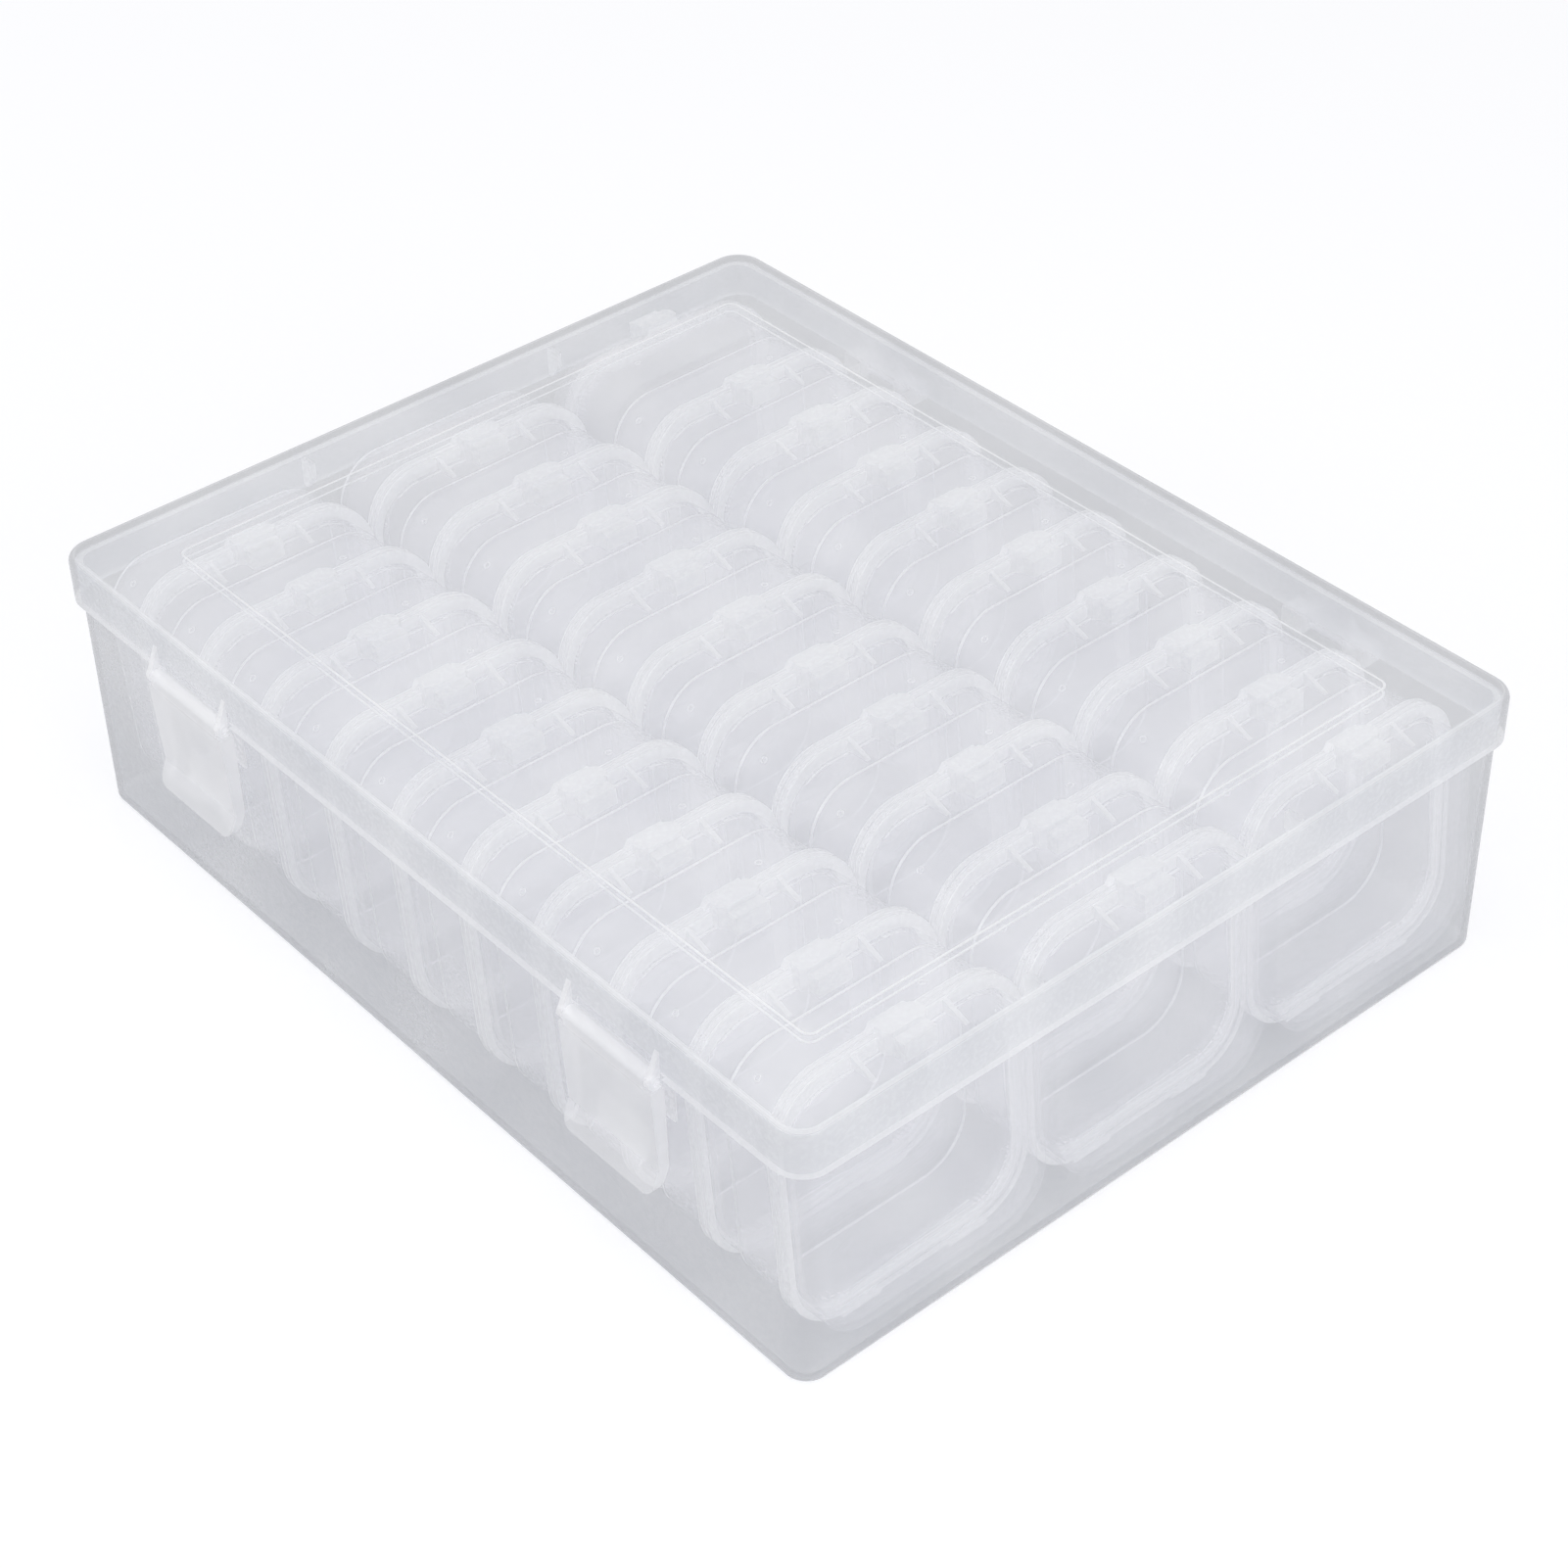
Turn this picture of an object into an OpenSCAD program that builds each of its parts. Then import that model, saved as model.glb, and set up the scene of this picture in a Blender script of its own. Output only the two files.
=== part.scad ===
// Bead organizer: a flat hinged case that holds small containers standing on edge, each with its own lid.
// Frame: origin at the middle of the tray's underside, +X along the case, latches on the -Y side, +Z up.
// Every container leans a little towards the -X end, as a loose stack does, so its own modules are
// drawn upright (X = depth, Y = width, Z = height) and then placed with that lean.

/* [Mini containers] */
// Number of containers in one column, along the case
rows = 10; // [4:1:12]
// Width of a container across its flange
box_w = 54.8; // [46:0.2:64]
// Height of a container across its flange, without snap and hinge tongues
box_h = 53.2; // [46:0.2:64]
// Depth of the base, from its closed face to the parting plane
base_d = 13.4; // [10:0.1:20]
// Depth of the small lid, from the parting plane to its face
cap_d = 7.4; // [5.6:0.1:12]
// Wall thickness of bases and small lids
box_wall = 1.0; // [0.7:0.05:1.4]
// Corner radius of the flange
flange_r = 12; // [8:0.5:16]
// Thickness of the base's flange, and of the small lid's rim
flange_t = 1.5; // [0.8:0.1:2]
// Step from the flange in to the base's side wall
body_inset = 1.3; // [0.6:0.1:1.6]
// Step from the rim in to the small lid's raised cap, at its sides and bottom
cap_inset = 1.3; // [0.8:0.1:2]
// The same step at the top, where a fingertip opens the small lid
cap_drop = 2.6; // [2.2:0.1:3.6]
// Depth of the lip that plugs the small lid into its base
plug_d = 1.6; // [0.8:0.1:3]

/* [Snap and hinge tongues] */
// Width of the snap block on the small lid
snap_w = 9.4; // [6:0.2:14]
// Depth of the snap block
snap_d = 4.3; // [2.5:0.1:5]
// Height of the snap block above the flange
snap_h = 2.2; // [1:0.1:3]
// Width of the lip in front of the snap block
lip_w = 7.4; // [4:0.2:9]
// Width of the catch on the base's flange
catch_w = 10.6; // [8:0.2:15]
// Height of that catch above the flange
catch_h = 1.5; // [0.8:0.1:2]
// Distance of each gusset from the container's middle
gusset_y = 10.2; // [8:0.2:13]
// Thickness of a gusset
gusset_t = 1.0; // [0.6:0.1:1.6]
// Distance of each hinge tongue from the container's middle
tongue_y = 12.4; // [8:0.2:15]
// Width of a hinge tongue
tongue_w = 9; // [5:0.5:12]
// Thickness of a hinge tongue below the flange
tongue_t = 0.8; // [0.5:0.1:1.2]

/* [Stack] */
// Lean of the standing containers towards the -X end, in degrees
lean = 5; // [0:0.5:8]
// Free gap between two containers of a column
stack_gap = 0.1; // [0.05:0.05:0.5]
// Free gap between two columns
column_gap = 0.6; // [0.2:0.1:2]
// Mean free space between the outer columns and the tray's long walls
side_gap = 1.95; // [0.4:0.05:4]
// How far the stack has slid from the middle towards the rear wall, less than that space
side_slide = 1.4; // [0:0.1:3.6]
// Clearance between the stack and the tray's end walls
end_gap = 0.3; // [0.2:0.05:1]

/* [Tray] */
// Thickness of the tray's walls
tray_wall = 1.2; // [1:0.05:2]
// Thickness of the tray's floor
floor_t = 1.5; // [1.2:0.1:2.4]
// Outer corner radius of the tray
tray_r = 4.8; // [3:0.1:8]
// Rounding of the tray's bottom edge
foot_r = 1.4; // [0.8:0.1:2]

/* [Case lid] */
// Thickness of the case lid's top
lid_t = 1.5; // [1.2:0.1:2.4]
// Thickness of the case lid's skirt
skirt_t = 1.2; // [0.9:0.05:1.8]
// Height of the skirt, from the lid's top
skirt_h = 10; // [7:0.5:12]
// Clearance between the skirt and the tray
skirt_gap = 0.35; // [0.3:0.05:0.6]
// Clearance between the highest snap and the case lid
head_gap = 0.45; // [0.3:0.05:2]
// Rounding of the case lid's top edge
lid_edge_r = 1.2; // [0.8:0.1:1.4]
// Distance of the raised panel from the lid's edge
panel_inset = 17; // [10:0.5:30]
// Height of the raised panel above the lid
panel_step = 0.4; // [0.2:0.1:0.8]
// Corner radius of the raised panel
panel_r = 2.4; // [1:0.2:6]
// Distance of each locating fin from the case's long axis
fin_y = 31.5; // [30:0.5:33]
// Depth of a locating fin below the lid
fin_h = 6.4; // [3:0.2:7]
// Length of a locating fin along the case
fin_l = 3.6; // [2:0.2:3.8]
// Thickness of a locating fin
fin_t = 1.0; // [0.7:0.1:1.4]

/* [Latches] */
// Distance of each latch from the case's short axis
latch_x = 63.5; // [40:0.5:75]
// Width of a latch
latch_w = 24.5; // [20:0.5:36]
// Distance from a latch's axis down to its tip
latch_l = 25.4; // [23:0.2:28]
// Height of the flared finger tab at the tip
tab_l = 4.9; // [3:0.1:7]
// Outward flare of the finger tab
tab_flare = 2.1; // [1:0.1:4]
// Thickness of the latch's panel and side ribs
latch_t = 1.1; // [0.9:0.05:1.3]
// Radius of the latch's hinge bar
bar_r = 1.6; // [1.4:0.05:1.9]
// Radius of the pins at the bar's ends
stub_r = 0.8; // [0.6:0.05:1]
// Thickness of the two cheeks on the lid that hold the latch's pins
cheek_t = 1.25; // [0.9:0.05:2]
// How far the latch's face stands out from the skirt at the start of its finger tab
kink_out = 1.4; // [1.3:0.05:2.2]
// Height of the notch in the skirt above its lower edge, over the latch's bar
notch_h = 2; // [1.7:0.1:4]
// Width of the catch on the tray and of the latch's hook
hook_w = 13; // [8:0.5:16]
// Thickness of the latch's hook
hook_t = 1.7; // [1:0.1:2.4]
// Height of the tray's wedge catch
wedge_h = 5.5; // [3:0.1:7]
// How far the wedge catch stands out from the tray
wedge_out = 1.2; // [0.8:0.05:1.4]
// Vertical clearance between hook and wedge catch
hook_gap = 0.3; // [0.2:0.05:0.6]
// Thickness of the raised pad behind the latch
pad_t = 0.5; // [0.3:0.1:0.6]
// Width by which the pad passes the latch on each side
pad_side = 1.95; // [1:0.05:4]
// Height of the pad below the skirt
pad_h = 9; // [5:0.5:10]

/* [Rear hinges] */
// Distance of each rear hinge from the case's short axis
hinge_x = 63.5; // [40:0.5:85]
// Radius of the pins moulded on the lid's knuckle
pin_r = 1.1; // [0.8:0.05:1.3]
// Outer radius of knuckles and ears
knuckle_r = 2.2; // [1.8:0.05:2.6]
// Width of the lid's knuckle
knuckle_w = 10; // [6:0.5:16]
// Width of each ear on the tray
ear_w = 5; // [3:0.5:8]
// Radial clearance of all the case's hinge pins in their bores
pin_run = 0.06; // [0.03:0.01:0.1]

/* [Hidden] */
columns = 3;
seat = 0.05;        // gap between pieces that rest on each other
part_gap = 0.05;    // gap at a container's parting plane
plug_gap = 0.1;     // gap round the small lid's plug
side_run = 0.3;     // gap beside a knuckle, and round a latch's bar
over = 1;          // how far a cutter passes the face that it opens
root = 0.4;         // how far an added feature reaches into the wall that carries it
smooth = 64;        // facets of the preview's round shapes

box_t = base_d + cap_d;
row_pitch = (box_t + stack_gap) / cos(lean);
column_pitch = box_w + column_gap;
plug_inset = body_inset + box_wall + plug_gap;
slide = min(side_slide, side_gap - 0.3);
tongue_x = base_d - flange_t;                  // the tongue's back edge
tongue_d = flange_t + part_gap + flange_t;

// Height of the drawing origin of a container that stands on its tongues, by its tongues' back edge
function stand_z(first) = floor_t + seat - min(first * sin(lean) - tongue_t * cos(lean),
                                               body_inset * cos(lean));
stand = stand_z(tongue_x);
stand_back = stand_z(box_t - tongue_x - tongue_d);

snap_x = base_d + part_gap;
top_z = stand + (snap_x + snap_d) * sin(lean) + (box_h + snap_h) * cos(lean);

inner_l = 2 * end_gap + (rows - 1) * row_pitch + (box_h - body_inset) * sin(lean)
        + box_t * cos(lean) - cap_inset * sin(lean);
inner_w = columns * box_w + (columns - 1) * column_gap + 2 * side_gap;
tray_l = inner_l + 2 * tray_wall;
tray_w = inner_w + 2 * tray_wall;
lid_l = tray_l + 2 * (skirt_gap + skirt_t);
lid_w = tray_w + 2 * (skirt_gap + skirt_t);
lid_r = tray_r + skirt_gap + skirt_t;
under_z = top_z + head_gap;                    // underside of the case lid
lid_z = under_z + lid_t;                       // its top, outside the raised panel
skirt_z = lid_z - skirt_h;                     // the skirt's lower edge
rim_z = under_z - seat;                        // the tray's rim
first_x = -inner_l / 2 + end_gap + (box_h - body_inset) * sin(lean);

latch_back = tray_w / 2 + pad_t + skirt_gap;   // back of the latch's side ribs, measured along -Y
latch_axis_y = latch_back + bar_r;             // the latch's axis, measured along -Y
latch_axis_z = skirt_z - 0.1;
cheek_r = bar_r + 0.1;
cheek_x = latch_w / 2 - cheek_t;               // inner face of a cheek, from the latch's middle
bar_w = 2 * (cheek_x - side_run);
stub_l = side_run + cheek_t * 0.8;             // length of the pin at each end of the bar
broad_z = latch_axis_z - cheek_r - side_run;   // below this the latch has its full width
tip_z = latch_axis_z - latch_l;
kink_z = tip_z + tab_l;
bar_face = latch_axis_y + bar_r;               // the latch's face at its axis, measured along -Y
kink_face = lid_w / 2 + kink_out;
wedge_z = kink_z - 1;                          // underside of the tray's wedge catch
hook_z = wedge_z - hook_gap;                   // top of the hook below it
tip_r = 2.6;                                   // radius of the latch's lower corners

// The latch's face at height z, measured along -Y
function face(z) = z > kink_z
    ? kink_face + (bar_face - kink_face) * (z - kink_z) / (latch_axis_z - kink_z)
    : kink_face + tab_flare * (kink_z - z) / tab_l;

hinge_y = lid_w / 2 + knuckle_r + 0.3;
hinge_z = skirt_z - knuckle_r - 0.3;
arm_h = 6;

// ---- shared shapes ----

// Flat rectangle with round corners, centred
module rounded_rect(w, h, r) {
    square([w - 2 * r, h], center = true);
    square([w, h - 2 * r], center = true);
    for (sx = [-1, 1], sy = [-1, 1])
        translate([sx * (w / 2 - r), sy * (h / 2 - r)]) circle(r, $fn = smooth);
}

// A 2D shape drawn in Y and Z, extruded along +X by d
module along_x(d) rotate([90, 0, 90]) linear_extrude(d) children();

// A 2D shape drawn in X and Z, extruded along -Y by d
module along_y(d) rotate([90, 0, 0]) linear_extrude(d) children();

// Half profile of a slab with a rounded bottom edge, for one corner
module corner_profile(r, h, edge) {
    difference() {
        square([r, h]);
        translate([r - edge, 0]) square([edge, edge]);
    }
    intersection() {
        square([r, h]);
        translate([r - edge, edge]) circle(edge, $fn = smooth);
    }
}

// Block with round corners and a rounded bottom edge, its underside at z = 0
module dish_block(l, w, h, r, edge) {
    for (sx = [-1, 1], sy = [-1, 1])
        translate([sx * (l / 2 - r), sy * (w / 2 - r), 0])
            rotate_extrude($fn = smooth) corner_profile(r, h, edge);
    translate([-l / 2 + r, 0, 0]) along_x(l - 2 * r) dish_section(w, h, edge);
    translate([0, w / 2 - r, 0]) along_y(w - 2 * r) dish_section(l, h, edge);
}

// Cross-section of that block
module dish_section(w, h, edge) {
    translate([-w / 2, edge]) square([w, h - edge]);
    translate([-w / 2 + edge, 0]) square([w - 2 * edge, h]);
    for (s = [-1, 1]) translate([s * (w / 2 - edge), edge]) circle(edge, $fn = smooth);
}

// ---- mini containers, drawn upright with the closed face of the base at x = 0 ----

// Slab of a container between two depths, stepped in from the flange's outline, and by
// a further drop at the top
module slab(x0, x1, inset, drop = 0)
    translate([x0, 0, (box_h - drop) / 2])
        along_x(x1 - x0)
            rounded_rect(box_w - 2 * inset, box_h - drop - 2 * inset, flange_r - inset);

module base_shape() {
    difference() {
        union() {
            slab(0, base_d, body_inset);
            slab(base_d - flange_t, base_d, 0);
            base_catch();
            for (s = [-1, 1]) translate([0, s * tongue_y, 0]) hinge_tongue();
        }
        slab(box_wall, base_d + over, body_inset + box_wall);
    }
}

// Catch at the middle of the flange's top, with sloped ends
module base_catch()
    translate([base_d - flange_t, 0, box_h])
        along_x(flange_t)
            polygon([[-catch_w / 2, -root], [-catch_w / 2 + catch_h, catch_h],
                     [catch_w / 2 - catch_h, catch_h], [catch_w / 2, -root]]);

// Tongue that carries the small lid's edge at the bottom
module hinge_tongue() {
    translate([tongue_x, -tongue_w / 2, -tongue_t]) cube([tongue_d, tongue_w, tongue_t - part_gap]);
    translate([tongue_x, -tongue_w / 2, -tongue_t]) cube([flange_t, tongue_w, tongue_t + root]);
}

module small_lid_shape() {
    drop = cap_drop - cap_inset;
    difference() {
        union() {
            slab(base_d + part_gap, base_d + part_gap + flange_t, 0);
            slab(base_d + part_gap, box_t, cap_inset, drop);
            slab(base_d - plug_d, base_d + part_gap + flange_t, plug_inset);
            snap();
            for (s = [-1, 1]) translate([0, s * gusset_y, 0]) gusset();
        }
        slab(base_d - plug_d - over, base_d + part_gap + flange_t, plug_inset + box_wall);
        slab(base_d + part_gap + flange_t - box_wall / 2, box_t - box_wall, cap_inset + box_wall, drop);
    }
}

// Snap block on the rim's top edge with cut corners, and the narrower lip in front of it
module snap() {
    foot = box_h - cap_drop - root;
    cut = snap_d / 4;
    translate([snap_x, 0, foot])
        linear_extrude(box_h + snap_h - foot)
            polygon([[0, -snap_w / 2 + cut], [cut, -snap_w / 2], [snap_d - cut, -snap_w / 2],
                     [snap_d, -snap_w / 2 + cut], [snap_d, snap_w / 2 - cut],
                     [snap_d - cut, snap_w / 2], [cut, snap_w / 2], [0, snap_w / 2 - cut]]);
    translate([snap_x + snap_d - root, -lip_w / 2, foot])
        cube([cap_d - part_gap - snap_d, lip_w, snap_h / 2 + box_h - foot]);
}

// Small triangular rib from the rim down to the cap's edge
module gusset()
    translate([0, gusset_t / 2, 0])
        along_y(gusset_t)
            polygon([[base_d + part_gap, box_h - cap_drop - root], [base_d + part_gap, box_h],
                     [base_d + part_gap + flange_t, box_h],
                     [box_t - root, box_h - cap_drop], [box_t - root, box_h - cap_drop - root]]);

// Puts a container, drawn upright, at its column (0 to 2) and row (0 to rows - 1).
// A reversed one has its lid towards -X.
module place(column, row, reversed = false) {
    z = reversed ? stand_back : stand;
    translate([first_x + row * row_pitch - (z - stand) * tan(lean),
               (column - (columns - 1) / 2) * column_pitch + slide, z])
        rotate([0, -lean, 0])
            translate([reversed ? box_t : 0, 0, 0])
                rotate([0, 0, reversed ? 180 : 0])
                    children();
}

// The container at the back corner was put in the other way round
function is_reversed(column, row) = column == columns - 1 && row == 0;

module base_at(column, row)
    color([0.90, 0.91, 0.94, 0.5])
        if (row < rows) place(column, row, is_reversed(column, row)) base_shape();

module small_lids_at(row)
    color([0.93, 0.94, 0.96, 0.5])
        if (row < rows)
            for (column = [0 : columns - 1])
                place(column, row, is_reversed(column, row)) small_lid_shape();

// ---- case ----

module tray() {
    color([0.86, 0.88, 0.91, 0.5]) {
        difference() {
            dish_block(tray_l, tray_w, rim_z, tray_r, foot_r);
            translate([0, 0, floor_t])
                linear_extrude(rim_z) rounded_rect(inner_l, inner_w, tray_r - tray_wall);
        }
        for (s = [-1, 1]) {
            translate([s * latch_x, 0, 0]) latch_pad();
            translate([s * hinge_x, 0, 0]) tray_ears();
        }
    }
}

// Raised pad and wedge catch on the tray's front wall
module latch_pad() {
    pad_w = latch_w + 2 * pad_side;
    translate([-pad_w / 2, -tray_w / 2 - pad_t, skirt_z - seat - pad_h])
        cube([pad_w, pad_t + root, pad_h - skirt_gap]);
    translate([-hook_w / 2, 0, 0])
        along_x(hook_w)
            polygon([[-tray_w / 2 + root, wedge_z], [-tray_w / 2 - wedge_out, wedge_z],
                     [-tray_w / 2 - wedge_out, wedge_z + wedge_h / 4],
                     [-tray_w / 2, wedge_z + wedge_h], [-tray_w / 2 + root, wedge_z + wedge_h]]);
}

// Two ears on the tray's rear wall, bored for the pin
module tray_ears() {
    for (s = [-1, 1])
        translate([s * (knuckle_w / 2 + side_run + ear_w / 2), 0, 0])
            difference() {
                union() {
                    translate([-ear_w / 2, tray_w / 2 - root, hinge_z - knuckle_r])
                        cube([ear_w, hinge_y - tray_w / 2 + root, 2 * knuckle_r]);
                    pin_axis(knuckle_r, ear_w);
                }
                pin_axis(pin_r + pin_run, ear_w + 2 * over);
            }
}

// Cylinder about the rear hinge's axis, centred on x = 0
module pin_axis(r, l)
    translate([-l / 2, hinge_y, hinge_z]) rotate([0, 90, 0]) cylinder(r = r, h = l, $fn = smooth);

module case_lid() {
    color([0.88, 0.90, 0.93, 0.5]) {
        difference() {
            translate([0, 0, lid_z]) mirror([0, 0, 1]) dish_block(lid_l, lid_w, skirt_h, lid_r, lid_edge_r);
            translate([0, 0, skirt_z - over])
                linear_extrude(under_z - skirt_z + over)
                    rounded_rect(lid_l - 2 * skirt_t, lid_w - 2 * skirt_t, lid_r - skirt_t);
            for (s = [-1, 1])
                translate([s * latch_x - cheek_x, -lid_w / 2 - over, skirt_z - over])
                    cube([2 * cheek_x, skirt_t + 2 * over, notch_h + over]);
        }
        for (s = [-1, 1], t = [-1, 1])
            translate([s * latch_x + t * (cheek_x + cheek_t / 2) - cheek_t / 2, 0, 0]) latch_cheek();
        translate([0, 0, lid_z - root])
            linear_extrude(panel_step + root)
                rounded_rect(lid_l - 2 * panel_inset, lid_w - 2 * panel_inset, panel_r);
        for (sx = [-1, 1], sy = [-1, 1])
            translate([0, sy * fin_y, 0]) mirror([sx < 0 ? 1 : 0, 0, 0]) lid_fin();
        for (s = [-1, 1]) translate([s * hinge_x, 0, 0]) lid_knuckle();
    }
}

// Locating fin inside the +X end of the tray, cut off at its lower inner corner
module lid_fin() {
    x1 = inner_l / 2 - skirt_gap;
    translate([0, fin_t / 2, 0])
        along_y(fin_t)
            polygon([[x1 - fin_l, under_z + root], [x1, under_z + root], [x1, under_z - fin_h],
                     [x1 - fin_l / 3, under_z - fin_h], [x1 - fin_l, under_z - fin_h / 2]]);
}

// Knuckle on the lid's rear skirt, with the arm that carries it and its two moulded pins
module lid_knuckle() {
    edge = knuckle_r * 0.9;
    pin_axis(knuckle_r, knuckle_w);
    pin_axis(pin_r, knuckle_w + 2 * side_run + 1.6 * ear_w);
    translate([-knuckle_w / 2, 0, 0])
        along_x(knuckle_w)
            polygon([[lid_w / 2 - root, skirt_z], [hinge_y - edge, hinge_z],
                     [hinge_y + edge, hinge_z], [lid_w / 2 - root, skirt_z + arm_h]]);
}

// Cheek on the lid's skirt, bored for the pin of a latch
module latch_cheek()
    along_x(cheek_t)
        difference() {
            union() {
                translate([-latch_axis_y, latch_axis_z]) circle(cheek_r, $fn = smooth);
                polygon([[-latch_axis_y - cheek_r, latch_axis_z], [-latch_axis_y + cheek_r, latch_axis_z],
                         [-lid_w / 2 + root, skirt_z + arm_h / 2], [-lid_w / 2, skirt_z + arm_h]]);
            }
            translate([-latch_axis_y, latch_axis_z]) circle(stub_r + pin_run, $fn = smooth);
        }

module latch(x) {
    color([0.92, 0.93, 0.95, 0.5])
        translate([x, 0, 0])
            intersection() {
                union() {
                    translate([-bar_w / 2, 0, 0])
                        along_x(bar_w) {
                            translate([-latch_axis_y, latch_axis_z]) circle(bar_r, $fn = smooth);
                            latch_panel(latch_axis_z);
                        }
                    translate([-bar_w / 2 - stub_l, 0, 0])
                        along_x(bar_w + 2 * stub_l)
                            translate([-latch_axis_y, latch_axis_z]) circle(stub_r, $fn = smooth);
                    translate([-latch_w / 2, 0, 0]) along_x(latch_w) latch_panel(broad_z);
                    for (s = [-1, 1])
                        translate([s * (latch_w - latch_t) / 2 - latch_t / 2, 0, 0])
                            along_x(latch_t) latch_rib();
                    translate([-hook_w / 2, 0, 0]) along_x(hook_w) latch_hook();
                }
                along_y(lid_w) {
                    for (s = [-1, 1])
                        translate([s * (latch_w / 2 - tip_r), tip_z + tip_r]) circle(tip_r, $fn = smooth);
                    translate([-latch_w / 2 + tip_r, tip_z]) square([latch_w - 2 * tip_r, tip_r + over]);
                    translate([-latch_w / 2, tip_z + tip_r]) square([latch_w, latch_l]);
                }
            }
}

// Outline of the latch's panel and flared tab below height top, in Y and Z
module latch_panel(top)
    polygon([[-face(top), top], [-face(kink_z), kink_z], [-face(tip_z), tip_z],
             [-face(tip_z) + latch_t, tip_z], [-face(kink_z) + latch_t, kink_z],
             [-face(top) + latch_t, top]]);

// Side rib of the latch, as deep as the space in front of the tray's pad
module latch_rib()
    polygon([[-face(broad_z), broad_z], [-face(kink_z), kink_z], [-face(tip_z), tip_z],
             [-latch_back - tab_flare, tip_z], [-latch_back, kink_z], [-latch_back, broad_z]]);

// Hook of the latch, under the tray's wedge catch
module latch_hook()
    polygon([[-face(hook_z) + latch_t / 2, hook_z], [-tray_w / 2 - skirt_gap, hook_z],
             [-tray_w / 2 - skirt_gap, hook_z - hook_t / 2],
             [-face(hook_z - hook_t) + latch_t / 2, hook_z - hook_t]]);

tray();
case_lid();
latch(-latch_x);  // latch_left
latch(latch_x);  // latch_right
base_at(0, 0);  // base_a01
base_at(0, 1);  // base_a02
base_at(0, 2);  // base_a03
base_at(0, 3);  // base_a04
base_at(0, 4);  // base_a05
base_at(0, 5);  // base_a06
base_at(0, 6);  // base_a07
base_at(0, 7);  // base_a08
base_at(0, 8);  // base_a09
base_at(0, 9);  // base_a10
base_at(1, 0);  // base_b01
base_at(1, 1);  // base_b02
base_at(1, 2);  // base_b03
base_at(1, 3);  // base_b04
base_at(1, 4);  // base_b05
base_at(1, 5);  // base_b06
base_at(1, 6);  // base_b07
base_at(1, 7);  // base_b08
base_at(1, 8);  // base_b09
base_at(1, 9);  // base_b10
base_at(2, 0);  // base_c01
base_at(2, 1);  // base_c02
base_at(2, 2);  // base_c03
base_at(2, 3);  // base_c04
base_at(2, 4);  // base_c05
base_at(2, 5);  // base_c06
base_at(2, 6);  // base_c07
base_at(2, 7);  // base_c08
base_at(2, 8);  // base_c09
base_at(2, 9);  // base_c10
small_lids_at(0);  // small_lids_01
small_lids_at(1);  // small_lids_02
small_lids_at(2);  // small_lids_03
small_lids_at(3);  // small_lids_04
small_lids_at(4);  // small_lids_05
small_lids_at(5);  // small_lids_06
small_lids_at(6);  // small_lids_07
small_lids_at(7);  // small_lids_08
small_lids_at(8);  // small_lids_09
small_lids_at(9);  // small_lids_10
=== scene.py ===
import bpy
import bmesh
import math
from mathutils import Matrix, Vector


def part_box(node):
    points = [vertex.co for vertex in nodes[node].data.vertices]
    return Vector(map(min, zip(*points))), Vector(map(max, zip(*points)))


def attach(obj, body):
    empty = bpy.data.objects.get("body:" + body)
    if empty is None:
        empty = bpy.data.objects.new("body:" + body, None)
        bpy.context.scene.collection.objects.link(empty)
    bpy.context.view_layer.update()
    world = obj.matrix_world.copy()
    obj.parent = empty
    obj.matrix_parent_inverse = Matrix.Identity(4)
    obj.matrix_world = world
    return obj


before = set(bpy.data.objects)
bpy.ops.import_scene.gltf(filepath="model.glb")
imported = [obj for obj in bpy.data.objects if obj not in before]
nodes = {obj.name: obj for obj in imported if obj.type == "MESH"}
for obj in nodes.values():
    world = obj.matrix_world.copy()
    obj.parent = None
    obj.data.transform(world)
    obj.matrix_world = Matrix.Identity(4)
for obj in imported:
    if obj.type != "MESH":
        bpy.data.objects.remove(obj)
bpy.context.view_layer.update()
MM = 0.001

# ---- sizes of the stack, as the record's frame has them, in metres ----
LEAN = math.radians(5)
COS, SIN = math.cos(LEAN), math.sin(LEAN)
FIRST_X, STAND = -102.451 * MM, 1.310 * MM       # drawing origin of the first upright container
TURNED_Z = 1.837 * MM                            # the same height for the container that is turned round
DEPTH, GAP = 20.8 * MM, 0.1 * MM                 # of a closed container, and to the next one
PITCH = DEPTH + GAP
SLACK = 0.03 * MM                                # keeps a container's back face in its own row
COLUMN, SLIDE = 55.4 * MM, 1.4 * MM
PARTING, RIM = 13.4 * MM, 1.55 * MM              # parting plane, and thickness of flange and rim there
BODY_TOP, FLANGE_TOP = 51.9 * MM, 53.2 * MM
SNAP_W, GUSSET_W = 4.8 * MM, 10.2 * MM           # half width of the snap, and a gusset's distance from the middle
LID_X, LID_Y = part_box("case_lid")[1][0], 87.5 * MM
PANEL_INSET, PANEL_R, PANEL_STEP = 17 * MM, 2.4 * MM, 0.4 * MM
LID_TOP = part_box("case_lid")[1][2] - PANEL_STEP  # of the lid outside its raised panel
LID_ROUND = 1.2 * MM                             # rounding of the lid's top edge
SKIRT_Z = 49.996 * MM
RIM_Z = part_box("tray")[1][2]
TRAY_SIDE, LID_SIDE = 86.05 * MM, 87.6 * MM      # beyond these in Y lie pads, catches, cheeks and hinge parts
FIN_X, FIN_Y = 107.1 * MM, 33 * MM               # the lid's locating fins lie inside these
BAR_Z, HOOK_Y = 48.2 * MM, -86.9 * MM            # a latch's bar is above the one, its hook behind the other


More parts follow.
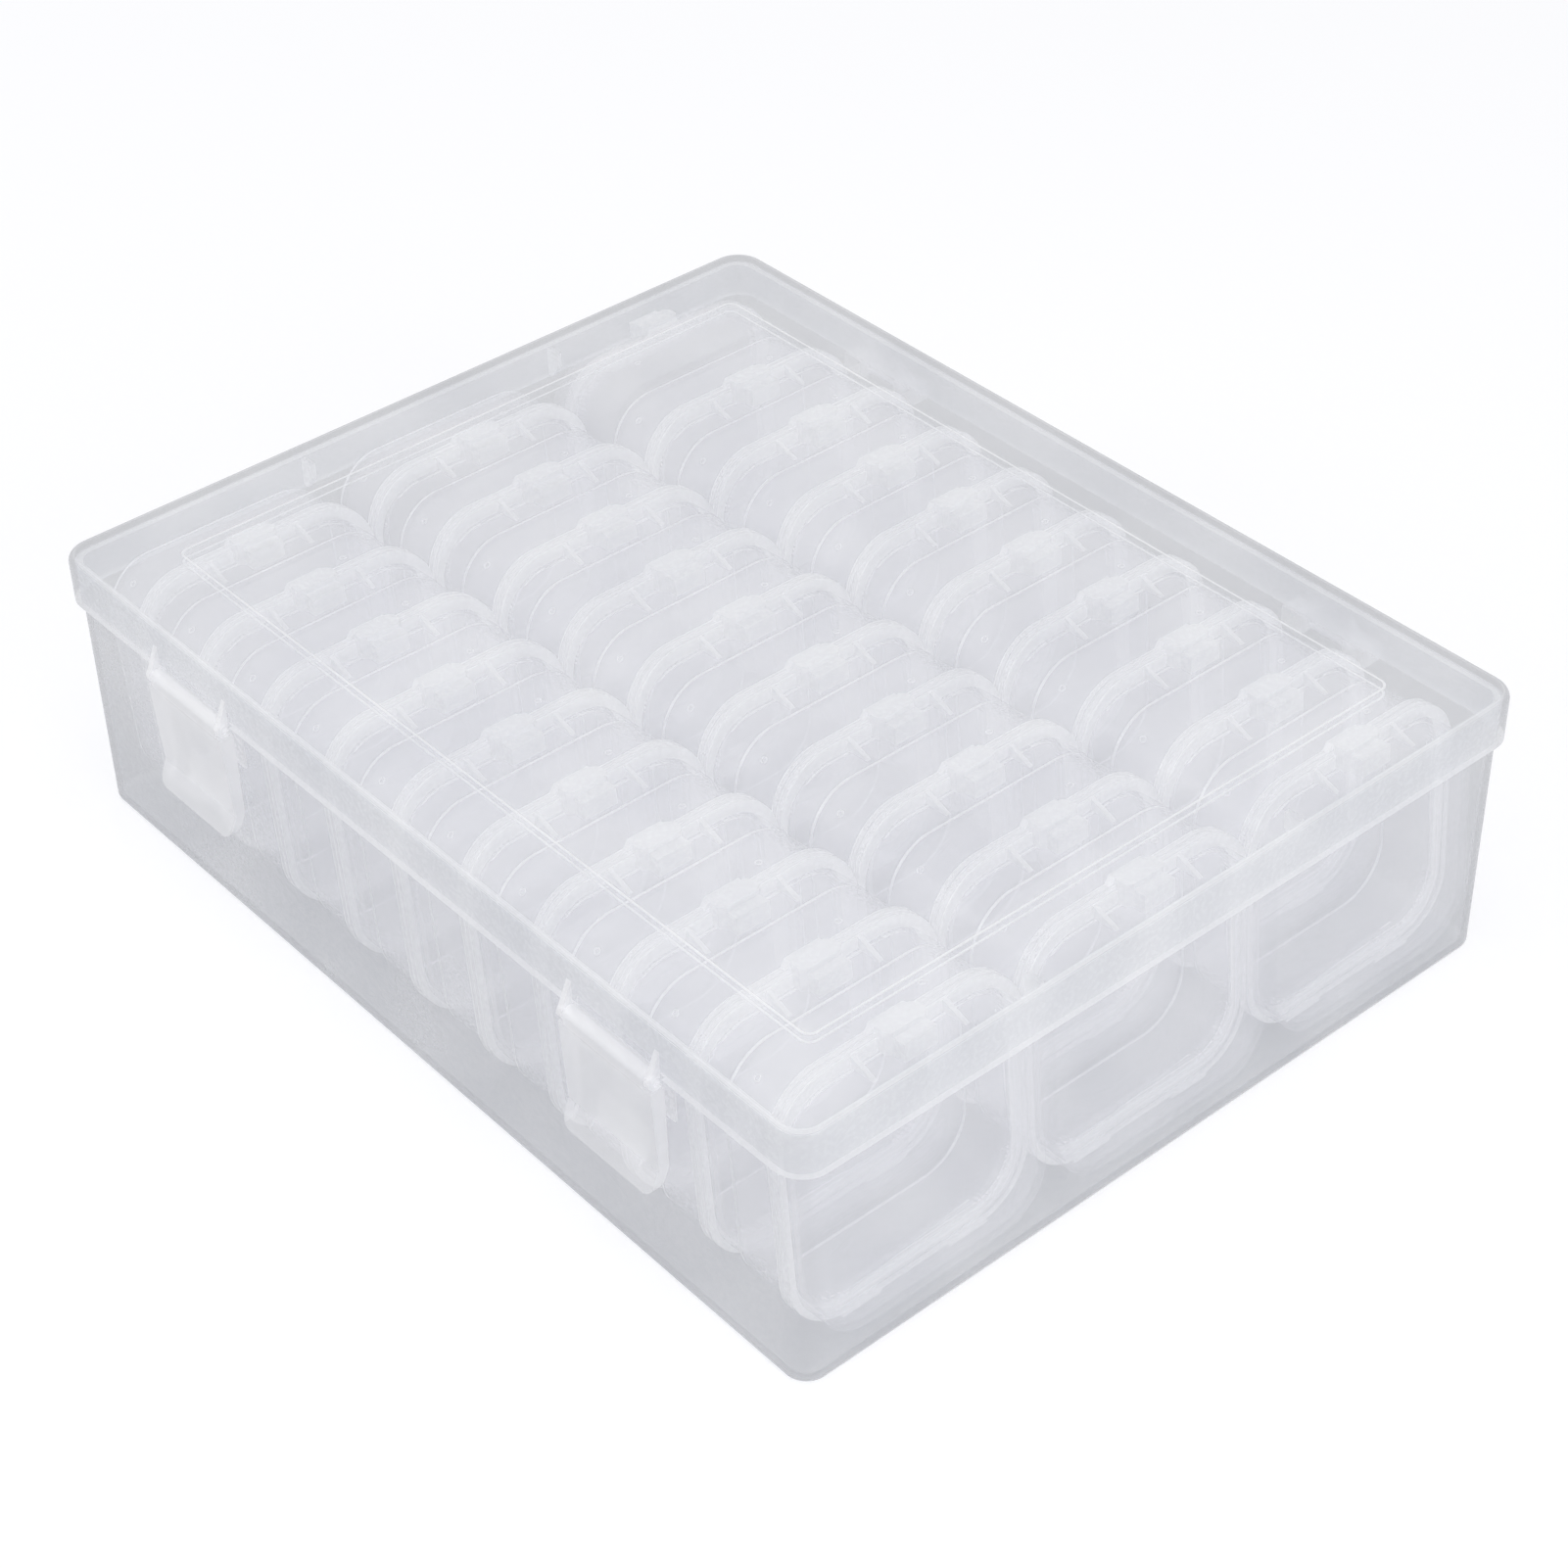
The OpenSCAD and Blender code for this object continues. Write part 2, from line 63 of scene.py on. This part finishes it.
def local(p, turned=False):
    """Depth, sideways place and height of a point in its own upright container."""
    along, up = p[0] - FIRST_X, p[2] - (TURNED_Z if turned else STAND)
    u = along * COS + up * SIN
    row = 0 if turned else math.floor((u + SLACK) / PITCH)
    v = -(along - row * PITCH / COS) * SIN + up * COS
    w = (p[1] - SLIDE + COLUMN / 2) % COLUMN - COLUMN / 2
    u -= row * PITCH
    return (DEPTH - u, -w, v) if turned else (u, w, v)


def placed(column, row, u, w, v, turned=False):
    """Where that point of a container stands in the case."""
    if turned:
        u, w = DEPTH - u, -w
    z = TURNED_Z if turned else STAND
    return Vector((FIRST_X - (z - STAND) * SIN / COS + row * PITCH / COS + u * COS - v * SIN,
                   (column - 1) * COLUMN + SLIDE + w, z + u * SIN + v * COS))


# ---- materials ----
class Tree:
    """A material's node tree, with short calls to add and link nodes."""

    def __init__(self, name):
        self.mat = bpy.data.materials.new(name)
        self.mat.use_nodes = True
        self.t = self.mat.node_tree
        self.t.nodes.clear()

    def node(self, kind, **props):
        n = self.t.nodes.new(kind)
        for k, v in props.items():
            setattr(n, k, v)
        return n

    def put(self, socket, value):
        if isinstance(value, bpy.types.NodeSocket):
            self.t.links.new(value, socket)
        else:
            socket.default_value = value

    def math(self, op, a, b=0.0):
        n = self.node("ShaderNodeMath", operation=op)
        self.put(n.inputs[0], a)
        self.put(n.inputs[1], b)
        return n.outputs[0]

    def ramp(self, x, x0, x1, y0, y1, smooth=True):
        n = self.node("ShaderNodeMapRange")
        n.interpolation_type = "SMOOTHSTEP" if smooth else "LINEAR"
        for i, v in enumerate((x, x0, x1, y0, y1)):
            self.put(n.inputs[i], v)
        return n.outputs[0]

    def noise(self, place, scale, detail, rough):
        n = self.node("ShaderNodeTexNoise")
        self.put(n.inputs["Vector"], place)
        self.put(n.inputs["Scale"], scale)
        self.put(n.inputs["Detail"], detail)
        self.put(n.inputs["Roughness"], rough)
        return n.outputs["Fac"]


GREY, SILVER = (0.86, 0.875, 0.91), (0.94, 0.95, 0.975)
MILK, CREAM = (0.905, 0.910, 0.952), (0.955, 0.958, 0.985)
# The whiter pair below is painted highlight: the same plastic made whiter on rims, edges, the lid's step and the
# latches, snaps, gussets and ejector rings.
SHEEN_TONE, SHEEN_PALE = (0.95, 0.953, 0.978), (0.98, 0.983, 0.998)
FACING_POWER = 2.6                               # how late a wall turns white as the eye comes to look along it, partly by the longer way through the plastic and partly as painted sheen
MOST_ALPHA = 0.96


def plastic(name, front, edge, rough, line=None, tone=GREY, pale=SILVER, passes=0.975):
    """Milky polypropylene: its alpha is front where it is seen square on, and edge where the eye looks along it,
    which whitens the wall partly by the longer way through the plastic and partly as painted sheen.
    line adds a wall's painted highlight lines. passes is the share of lamp light that goes through one wall."""
    m = Tree(name)
    place = m.node("ShaderNodeTexCoord").outputs["Object"]
    cloud = m.noise(place, 38.0, 2.0, 0.55)
    grain = m.noise(place, 900.0, 1.0, 0.6)
    facing = m.node("ShaderNodeLayerWeight")
    facing.inputs["Blend"].default_value = 0.5
    along = m.math("POWER", facing.outputs["Facing"], FACING_POWER)
    alpha = m.math("ADD", m.ramp(along, 0.0, 1.0, front, edge, False), m.ramp(cloud, 0.3, 0.7, -0.02, 0.02))
    # Painted highlight lines raise the alpha, so more of the lit plastic shows there.
    if line:
        alpha = m.math("ADD", alpha, line(m, place))
    alpha = m.math("MINIMUM", alpha, MOST_ALPHA)
    colour = m.node("ShaderNodeMix", data_type="RGBA")
    m.put(colour.inputs["Factor"], m.ramp(cloud, 0.25, 0.75, 0.0, 1.0))
    m.put(colour.inputs["A"], (*tone, 1))
    m.put(colour.inputs["B"], (*pale, 1))
    bump = m.node("ShaderNodeBump")
    bump.inputs["Strength"].default_value = 0.25
    bump.inputs["Distance"].default_value = 0.00008
    m.put(bump.inputs["Height"],
          m.math("ADD", m.math("MULTIPLY", cloud, 2.0), m.math("MULTIPLY", grain, 0.04)))
    p = m.node("ShaderNodeBsdfPrincipled")
    m.put(p.inputs["Base Color"], colour.outputs["Result"])
    m.put(p.inputs["Roughness"], m.ramp(grain, 0.3, 0.7, rough - 0.06, rough + 0.08))
    m.put(p.inputs["Normal"], bump.outputs[0])
    m.put(p.inputs["Alpha"], alpha)
    p.inputs["IOR"].default_value = 1.49
    light = m.node("ShaderNodeBsdfTransparent")
    light.inputs["Color"].default_value = (passes, passes, passes, 1)
    mix = m.node("ShaderNodeMixShader")
    m.put(mix.inputs[0], m.node("ShaderNodeLightPath").outputs["Is Shadow Ray"])
    m.put(mix.inputs[1], p.outputs[0])
    m.put(mix.inputs[2], light.outputs[0])
    out = m.node("ShaderNodeOutputMaterial")
    m.put(out.inputs["Surface"], mix.outputs[0])
    return m.mat


def depth_highlights(*bands):
    """Painted highlight lines round a container's side wall, each (depth, width, strength)."""
    def line(m, place):
        n = m.node("ShaderNodeVectorMath", operation="DOT_PRODUCT")
        m.put(n.inputs[0], place)
        m.put(n.inputs[1], (COS, 0, SIN))
        start = FIRST_X * COS + STAND * SIN - SLACK
        u = m.math("FLOORED_MODULO", m.math("SUBTRACT", n.outputs["Value"], start), PITCH)
        total = 0.0
        for at, width, strength in bands:
            off = m.math("ABSOLUTE", m.math("SUBTRACT", u, at + SLACK))
            total = m.math("ADD", total, m.ramp(off, width / 2, width / 2 + 0.1 * MM, strength, 0.0))
        return total
    return line


def outline_highlights(*bands):
    """Painted highlight lines on the lid's top along rounded rectangles, each (half x, half y, radius, width,
    strength).
    """
    def line(m, place):
        xyz = m.node("ShaderNodeSeparateXYZ")
        m.put(xyz.inputs[0], place)
        total = 0.0
        for half_x, half_y, radius, width, strength in bands:
            qx = m.math("SUBTRACT", m.math("ABSOLUTE", xyz.outputs[0]), half_x - radius)
            qy = m.math("SUBTRACT", m.math("ABSOLUTE", xyz.outputs[1]), half_y - radius)
            ox, oy = m.math("MAXIMUM", qx, 0.0), m.math("MAXIMUM", qy, 0.0)
            out = m.math("SQRT", m.math("ADD", m.math("MULTIPLY", ox, ox), m.math("MULTIPLY", oy, oy)))
            off = m.math("ADD", out, m.math("MINIMUM", m.math("MAXIMUM", qx, qy), 0.0))
            off = m.math("ABSOLUTE", m.math("SUBTRACT", off, radius))
            total = m.math("ADD", total, m.ramp(off, width / 2, width / 2 + 0.15 * MM, strength, 0.0))
        return total
    return line


def height_highlight(at, width, strength):
    """A painted highlight line at one height of an upright wall."""
    def line(m, place):
        xyz = m.node("ShaderNodeSeparateXYZ")
        m.put(xyz.inputs[0], place)
        off = m.math("ABSOLUTE", m.math("SUBTRACT", xyz.outputs[2], at))
        return m.ramp(off, width / 2, width / 2 + 0.2 * MM, strength, 0.0)
    return line


LINE_IN = 0.3 * MM                               # the panel's painted highlight line lies this far inside its edge
PANEL_LINE = PANEL_INSET + LINE_IN
# Painted highlight lines along the flange and rim edges of each container.
RIM_HIGHLIGHTS = depth_highlights((PARTING - RIM + 0.15 * MM, 0.25 * MM, 0.34), (PARTING, 0.2 * MM, 0.22),
                   (PARTING + RIM - 0.15 * MM, 0.25 * MM, 0.34))
# The edge, step, latch and snap materials are the same plastic, painted whiter and more opaque as a highlight on
# rims, edges and small parts.
MATERIALS = {
    # The tray wall's line near its foot is a painted highlight.
    "tray_wall": plastic("tray_wall", 0.12, 0.55, 0.26, height_highlight(0.6 * MM, 1.6 * MM, 0.08), passes=0.92),
    "tray_edge": plastic("tray_edge", 0.36, 0.75, 0.26, tone=SHEEN_TONE, pale=SHEEN_PALE, passes=0.92),
    # The lid's lines along its raised panel and its rounded top edge are painted highlights.
    "lid_wall": plastic("lid_wall", 0.13, 0.55, 0.24,
                        outline_highlights((LID_X - PANEL_LINE, LID_Y - PANEL_LINE, PANEL_R - LINE_IN, 0.40 * MM, 0.60),
                                      (LID_X - LID_ROUND, LID_Y - LID_ROUND, 5 * MM, 0.3 * MM, 0.22)),
                        passes=0.95),
    "lid_edge": plastic("lid_edge", 0.50, 0.85, 0.24, tone=SHEEN_TONE, pale=SHEEN_PALE, passes=0.95),
    "lid_step": plastic("lid_step", 0.12, 0.3, 0.24, tone=SHEEN_TONE, pale=SHEEN_PALE, passes=0.95),
    "latch_wall": plastic("latch_wall", 0.21, 0.65, 0.34, tone=SHEEN_TONE, pale=SHEEN_PALE),
    "latch_edge": plastic("latch_edge", 0.36, 0.75, 0.42, tone=SHEEN_TONE, pale=SHEEN_PALE),
    "base_face": plastic("base_face", 0.11, 0.12, 0.27, tone=MILK, pale=CREAM, passes=0.985),
    # The base wall's line at its back edge is a painted highlight.
    "base_wall": plastic("base_wall", 0.15, 0.5, 0.27, depth_highlights((0.3 * MM, 0.5 * MM, 0.60)),
                         tone=MILK, pale=CREAM, passes=0.985),
    "base_edge": plastic("base_edge", 0.26, 0.65, 0.26, RIM_HIGHLIGHTS, tone=SHEEN_TONE, pale=SHEEN_PALE, passes=0.985),
    "small_face": plastic("small_face", 0.11, 0.12, 0.27, tone=MILK, pale=CREAM, passes=0.985),
    "small_wall": plastic("small_wall", 0.13, 0.5, 0.20, tone=MILK, pale=CREAM, passes=0.985),
    "small_edge": plastic("small_edge", 0.26, 0.65, 0.24, RIM_HIGHLIGHTS, tone=SHEEN_TONE, pale=SHEEN_PALE, passes=0.985),
    "snap_sheen": plastic("snap_sheen", 0.36, 0.75, 0.24, tone=SHEEN_TONE, pale=SHEEN_PALE, passes=0.985),
}


def tray_part(c, n):
    raised = abs(c.y) > TRAY_SIDE
    return "tray_edge" if raised or (c.z > RIM_Z - 0.1 * MM and n.z > 0.9) else "tray_wall"


def lid_part(c, n):
    if c.z > LID_TOP + 0.01 * MM and abs(n.z) < 0.5:
        return "lid_step"
    under = n.z < -0.9 and c.z < SKIRT_Z + 0.1 * MM
    fin = abs(c.x) < FIN_X and abs(c.y) < FIN_Y and c.z < LID_TOP - 1.6 * MM
    return "lid_edge" if under or fin or abs(c.y) > LID_SIDE else "lid_wall"


def latch_part(c, n):
    side = abs(n.x) > 0.7
    bar = c.z > BAR_Z
    hook = c.y > HOOK_Y
    return "latch_edge" if side or bar or hook else "latch_wall"


def base_part(c, n, turned=False):
    u, w, v = local(c, turned)
    # The catch on the flange takes the snap material, painted whiter as a highlight.
    if v > FLANGE_TOP + 0.05 * MM:
        return "snap_sheen"
    if v < 0 or u > PARTING - RIM + 0.02 * MM:
        return "base_edge"
    along = n.x * COS + n.z * SIN
    return "base_face" if abs(along) > 0.7 else "base_wall"


def small_part(c, n, turned=False):
    u, w, v = local(c, turned)
    on_top = v > BODY_TOP - 1.2 * MM
    snap = on_top and abs(w) < SNAP_W and u > PARTING
    gusset = on_top and abs(abs(w) - GUSSET_W) < 0.6 * MM and u > PARTING + RIM
    # Snaps and gussets take the snap material, painted whiter as a highlight.
    if snap or gusset:
        return "snap_sheen"
    if PARTING < u < PARTING + RIM + 0.01 * MM:
        return "small_edge"
    along = n.x * COS + n.z * SIN
    return "small_face" if abs(along) > 0.7 or u < PARTING else "small_wall"


def dress(ob, names, part):
    """Gives a CAD node its materials, and each of its faces the one that part names for it."""
    slots = ob.data.materials
    slots.clear()
    for n in names:
        slots.append(MATERIALS[n])
    for f in ob.data.polygons:
        f.material_index = names.index(part(f.center, f.normal))


for name, ob in nodes.items():
    if name == "tray":
        dress(ob, ["tray_wall", "tray_edge"], tray_part)
    elif name == "case_lid":
        dress(ob, ["lid_wall", "lid_edge", "lid_step"], lid_part)
    elif name.startswith("latch"):
        dress(ob, ["latch_wall", "latch_edge"], latch_part)
    elif name.startswith("base"):
        turned = name == "base_c01"
        dress(ob, ["base_wall", "base_face", "base_edge", "snap_sheen"],
              lambda c, n, turned=turned: base_part(c, n, turned))
    else:
        first = name == "small_lids_01"
        dress(ob, ["small_wall", "small_face", "small_edge", "snap_sheen"],
              lambda c, n, first=first: small_part(c, n, first and c.y > COLUMN / 2 + SLIDE))


# ---- the small round ejector marks on each base's side wall ----
def ring(bm, centre, normal, radius, thick):
    """A low round ring that stands a hair out of the wall that carries it."""
    turn = normal.to_track_quat("Z", "Y").to_matrix()
    rounds, sides = 20, 6
    verts = []
    for i in range(rounds):
        a = 2 * math.pi * i / rounds
        for j in range(sides):
            b = 2 * math.pi * j / sides
            r = radius + thick * math.cos(b)
            point = Vector((r * math.cos(a), r * math.sin(a), thick * math.sin(b)))
            verts.append(bm.verts.new(centre + turn @ point))
    for i in range(rounds):
        for j in range(sides):
            k, l = (i + 1) % rounds, (j + 1) % sides
            bm.faces.new([verts[q] for q in (i * sides + j, k * sides + j, k * sides + l, i * sides + l)])


CORNER_W, CORNER_V, CORNER_R = 15.4 * MM, 41.2 * MM, 10.7 * MM   # centre and radius of a base's round corner
MARKS = ((-22.2 * MM, 4.8 * MM), (11.5 * MM, 8.0 * MM))          # sideways place and depth of each mark
MARK_R, MARK_THICK = 0.62 * MM, 0.13 * MM
for column, letter in enumerate("abc"):
    bm = bmesh.new()
    for row in range(10):
        turned = column == 2 and row == 0
        for w, u in MARKS:
            over = max(abs(w) - CORNER_W, 0.0)
            v = CORNER_V + math.sqrt(CORNER_R ** 2 - over ** 2)
            a = placed(column, row, u, w, v, turned)
            b = placed(column, row, u, w + math.copysign(over, w), v + (v - CORNER_V), turned)
            ring(bm, a, (b - a).normalized(), MARK_R, MARK_THICK)
    mesh = bpy.data.meshes.new(f"ejector_marks_{letter}")
    bm.to_mesh(mesh)
    bm.free()
    mesh.shade_smooth()
    # The rings take the snap material, painted whiter as a highlight.
    mesh.materials.append(MATERIALS["snap_sheen"])
    marks = bpy.data.objects.new(f"ejector_marks_{letter}", mesh)
    bpy.context.scene.collection.objects.link(marks)
    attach(marks, "case")


# ---- stage, light and camera ----
FLOOR_GLOW = 0.47                                # the floor's own light where it is seen without plastic before it
WORLD_LIGHT, WORLD_SEEN = 0.56, 1.0              # the world's strength on the object, and as the camera sees it


def floor_material():
    """A pale floor that keeps the shadow. It glows only where nothing lies before it."""
    m = Tree("floor")
    path = m.node("ShaderNodeLightPath")
    seen = m.math("MAXIMUM", m.math("MAXIMUM", path.outputs["Is Camera Ray"], path.outputs["Is Glossy Ray"]),
                  path.outputs["Is Transmission Ray"])
    d = m.node("ShaderNodeBsdfDiffuse")
    d.inputs["Color"].default_value = (0.58, 0.583, 0.605, 1)
    e = m.node("ShaderNodeEmission")
    e.inputs["Color"].default_value = (1, 1, 1, 1)
    bare = m.math("LESS_THAN", path.outputs["Transparent Depth"], 0.5)
    m.put(e.inputs["Strength"], m.math("MULTIPLY", m.math("MULTIPLY", seen, bare), FLOOR_GLOW))
    add = m.node("ShaderNodeAddShader")
    m.put(add.inputs[0], d.outputs[0])
    m.put(add.inputs[1], e.outputs[0])
    out = m.node("ShaderNodeOutputMaterial")
    m.put(out.inputs["Surface"], add.outputs[0])
    return m.mat


bm = bmesh.new()
bmesh.ops.create_grid(bm, x_segments=1, y_segments=1, size=3.0)
floor_mesh = bpy.data.meshes.new("floor")
bm.to_mesh(floor_mesh)
bm.free()
floor = bpy.data.objects.new("floor", floor_mesh)
floor.location.z = -0.0002
floor_mesh.materials.append(floor_material())
bpy.context.scene.collection.objects.link(floor)

world = bpy.data.worlds.new("studio")
world.use_nodes = True
bpy.context.scene.world = world
wt = world.node_tree
wt.nodes.clear()
sky = wt.nodes.new("ShaderNodeBackground")
path = wt.nodes.new("ShaderNodeLightPath")
level = wt.nodes.new("ShaderNodeMapRange")
wt.links.new(path.outputs["Is Camera Ray"], level.inputs["Value"])
level.inputs["To Min"].default_value = WORLD_LIGHT
level.inputs["To Max"].default_value = WORLD_SEEN
wt.links.new(level.outputs[0], sky.inputs["Strength"])
sky.inputs["Color"].default_value = (1, 1, 1, 1)
world_out = wt.nodes.new("ShaderNodeOutputWorld")
wt.links.new(sky.outputs[0], world_out.inputs[0])


def area(name, place, aim, size, power):
    """A soft rectangular lamp."""
    lamp = bpy.data.lights.new(name, "AREA")
    lamp.shape = "RECTANGLE"
    lamp.size, lamp.size_y = size
    lamp.energy = power
    ob = bpy.data.objects.new(name, lamp)
    ob.location = place
    ob.rotation_euler = (Vector(aim) - Vector(place)).to_track_quat("-Z", "Y").to_euler()
    bpy.context.scene.collection.objects.link(ob)


area("key", (0.4, -0.3, 1.65), (0, 0, 0.03), (1.6, 1.6), 8.5)
area("right", (1.6, 0.0, 0.65), (0, 0, 0.03), (1.0, 0.8), 7)
area("left", (-1.0, -1.5, 0.95), (0, 0, 0.05), (0.9, 0.6), 8)

az, el, roll = (math.radians(a) for a in (50.2712481, 38.5586706, -1.51089791))
back = Vector((math.sin(az) * math.cos(el), -math.cos(az) * math.cos(el), math.sin(el)))
right0 = Vector((math.cos(az), math.sin(az), 0))
up0 = back.cross(right0)
right = math.cos(roll) * right0 + math.sin(roll) * up0
up = -math.sin(roll) * right0 + math.cos(roll) * up0
lens = bpy.data.cameras.new("camera")
lens.sensor_width = 36
lens.lens = 77.07
lens.shift_x, lens.shift_y = 0.01024, 0.00082
lens.clip_start, lens.clip_end = 0.01, 20
camera = bpy.data.objects.new("camera", lens)
camera.matrix_world = Matrix((
    (right.x, up.x, back.x, 0.3945224),
    (right.y, up.y, back.y, -0.3280139),
    (right.z, up.z, back.z, 0.4287782),
    (0, 0, 0, 1)))
bpy.context.scene.collection.objects.link(camera)
bpy.context.scene.camera = camera

scene = bpy.context.scene
scene.view_settings.view_transform = "Standard"
scene.cycles.max_bounces = 6
scene.cycles.diffuse_bounces = 4
scene.cycles.glossy_bounces = 4
scene.cycles.transmission_bounces = 8
scene.cycles.transparent_max_bounces = 128
